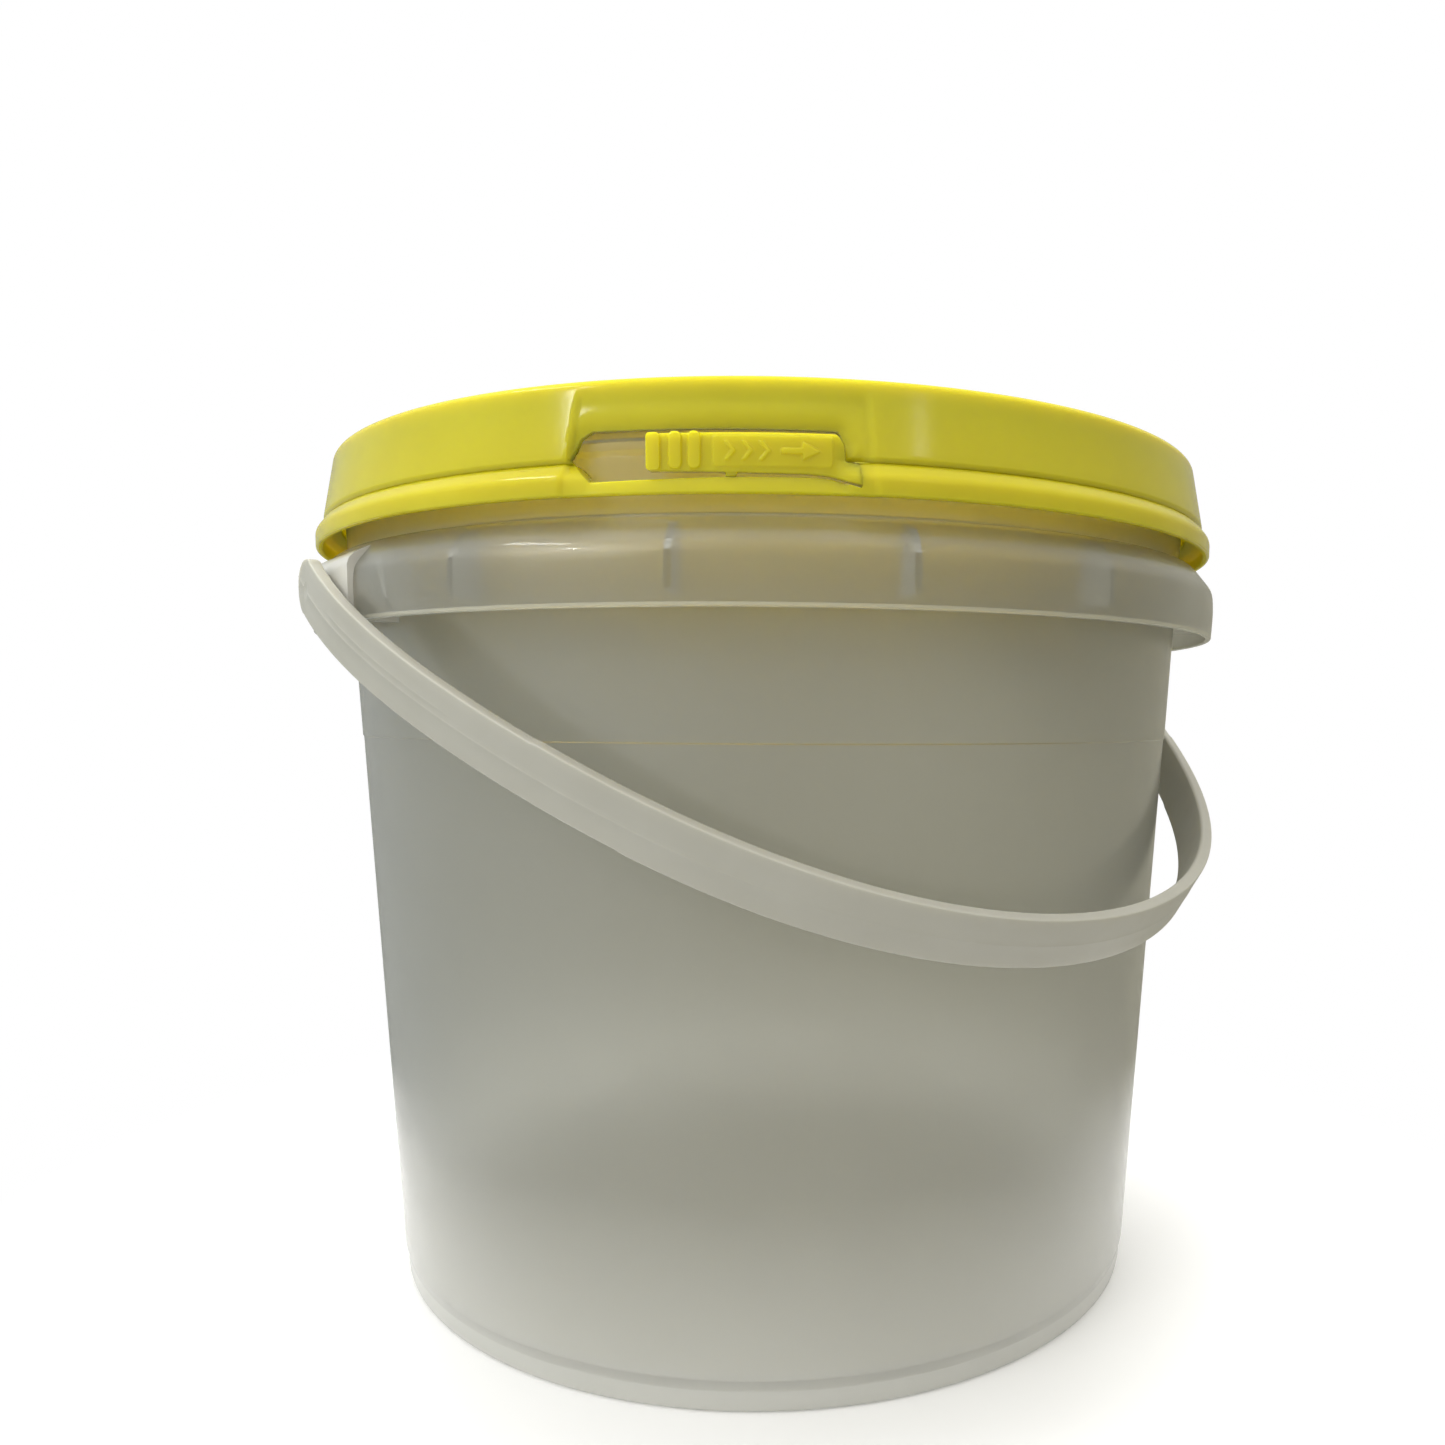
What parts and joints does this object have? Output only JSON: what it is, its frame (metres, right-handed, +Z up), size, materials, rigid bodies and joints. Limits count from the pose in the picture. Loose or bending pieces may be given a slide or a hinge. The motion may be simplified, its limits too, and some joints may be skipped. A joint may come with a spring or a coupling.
{
  "type": "lidded plastic pail",
  "caption": "Round translucent plastic pail with a tear-band snap lid and a swinging moulded strap handle.",
  "frame": {"origin": "centre of the foot ring, on the surface the pail stands on", "axes": "+Z up along the pail's axis; X along the handle's pivot axis; the resting handle leans towards -Y"},
  "size_m": [0.2384, 0.2316, 0.1996],
  "materials": {
    "natural_pp": "translucent natural polypropylene, satin to gloss",
    "handle_pp": "milky natural polypropylene, satin",
    "lid_yellow": "opaque yellow polypropylene, gloss"
  },
  "bodies": {
    "pail": {"pail": "natural_pp", "collar": "natural_pp"},
    "handle": {"handle_grip": "handle_pp", "handle_arm_left": "handle_pp", "handle_arm_right": "handle_pp", "pivot_pin_left": "handle_pp", "pivot_pin_right": "handle_pp"},
    "lid": {"lid": "lid_yellow", "tamper_band": "lid_yellow"},
    "tab": {"tear_tab": "lid_yellow"}
  },
  "joints": [
    {"name": "handle_swing", "type": "hinge", "parent": "pail", "child": "handle", "pos_m": [0, 0, 0.166], "axis": [-1, 0, 0], "range_deg": [0, 243.2]},
    {"name": "lid_lift", "type": "slide", "parent": "pail", "child": "lid", "axis": [0, 0, 1], "range_m": [0, 0.12]},
    {"name": "tear_tab_hinge", "type": "hinge", "parent": "lid", "child": "tab", "pos_m": [-0.05305, -0.0979, 0.1828], "axis": [0, 0, 1], "range_deg": [0, 75]}
  ]
}
